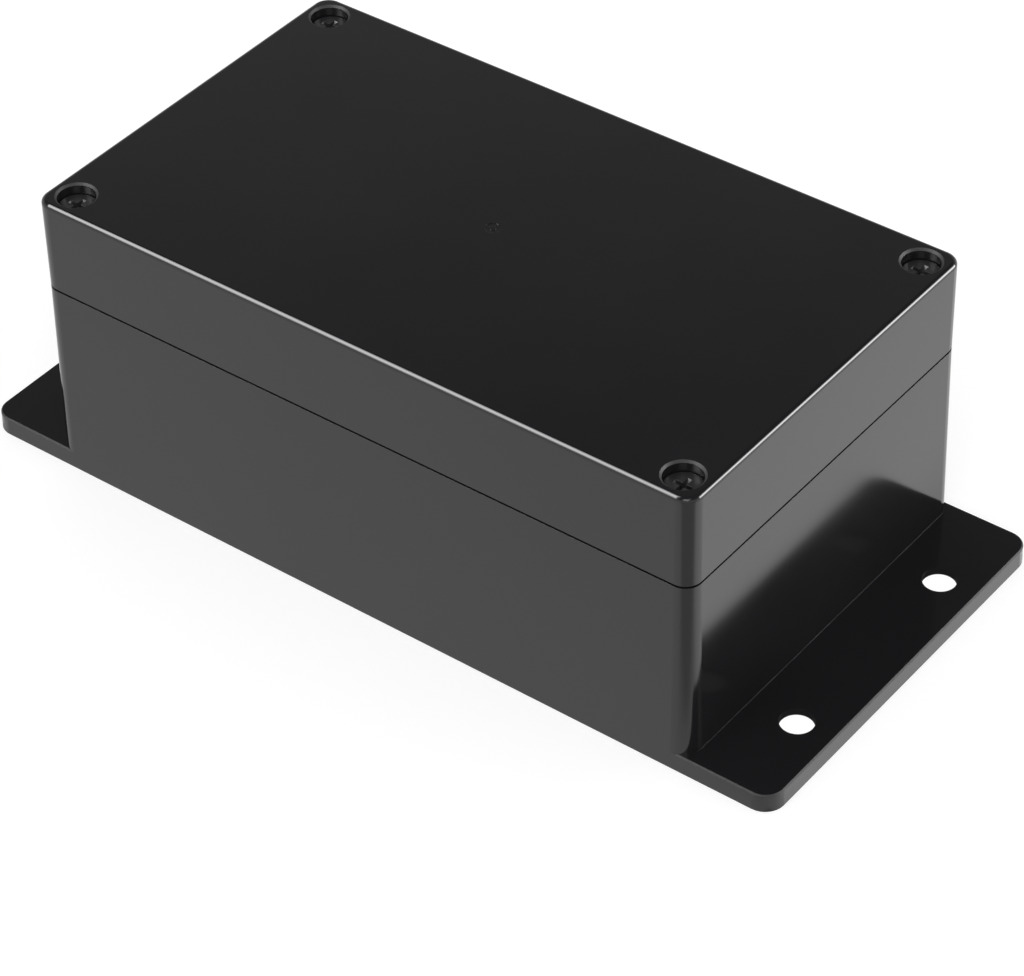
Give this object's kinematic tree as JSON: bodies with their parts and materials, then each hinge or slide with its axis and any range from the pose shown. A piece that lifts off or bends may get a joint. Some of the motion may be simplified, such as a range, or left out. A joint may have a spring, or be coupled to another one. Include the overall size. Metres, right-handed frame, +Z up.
{
  "type": "electrical enclosure",
  "caption": "Sealed black plastic box with a deep screwed lid, corner screw recesses and a drilled mounting ear at each short end.",
  "frame": {"origin": "centre of the underside", "axes": "+X along the box towards one ear, +Y across it, +Z up through the lid"},
  "size_m": [0.1968, 0.092, 0.0662],
  "materials": {
    "housing": "semi-gloss moulded black ABS with a very fine texture",
    "seal": "translucent white silicone",
    "insert": "turned brass",
    "screw": "black oxide on steel, lightly oiled"
  },
  "bodies": {
    "base": {"base": "housing", "insert_front_left": "insert", "insert_front_right": "insert", "insert_rear_left": "insert", "insert_rear_right": "insert"},
    "lid": {"lid": "housing", "gasket": "seal"},
    "screw_front_left": {"lid_screw_front_left": "screw"},
    "screw_front_right": {"lid_screw_front_right": "screw"},
    "screw_rear_left": {"lid_screw_rear_left": "screw"},
    "screw_rear_right": {"lid_screw_rear_right": "screw"}
  },
  "joints": [
    {"name": "lid_lift", "type": "slide", "parent": "base", "child": "lid", "axis": [0, 0, 1], "range_m": [0, 0.04]},
    {"name": "screw_front_left_draw", "type": "slide", "parent": "lid", "child": "screw_front_left", "axis": [0, 0, 1], "range_m": [0, 0.036]},
    {"name": "screw_front_right_draw", "type": "slide", "parent": "lid", "child": "screw_front_right", "axis": [0, 0, 1], "range_m": [0, 0.036]},
    {"name": "screw_rear_left_draw", "type": "slide", "parent": "lid", "child": "screw_rear_left", "axis": [0, 0, 1], "range_m": [0, 0.036]},
    {"name": "screw_rear_right_draw", "type": "slide", "parent": "lid", "child": "screw_rear_right", "axis": [0, 0, 1], "range_m": [0, 0.036]}
  ]
}
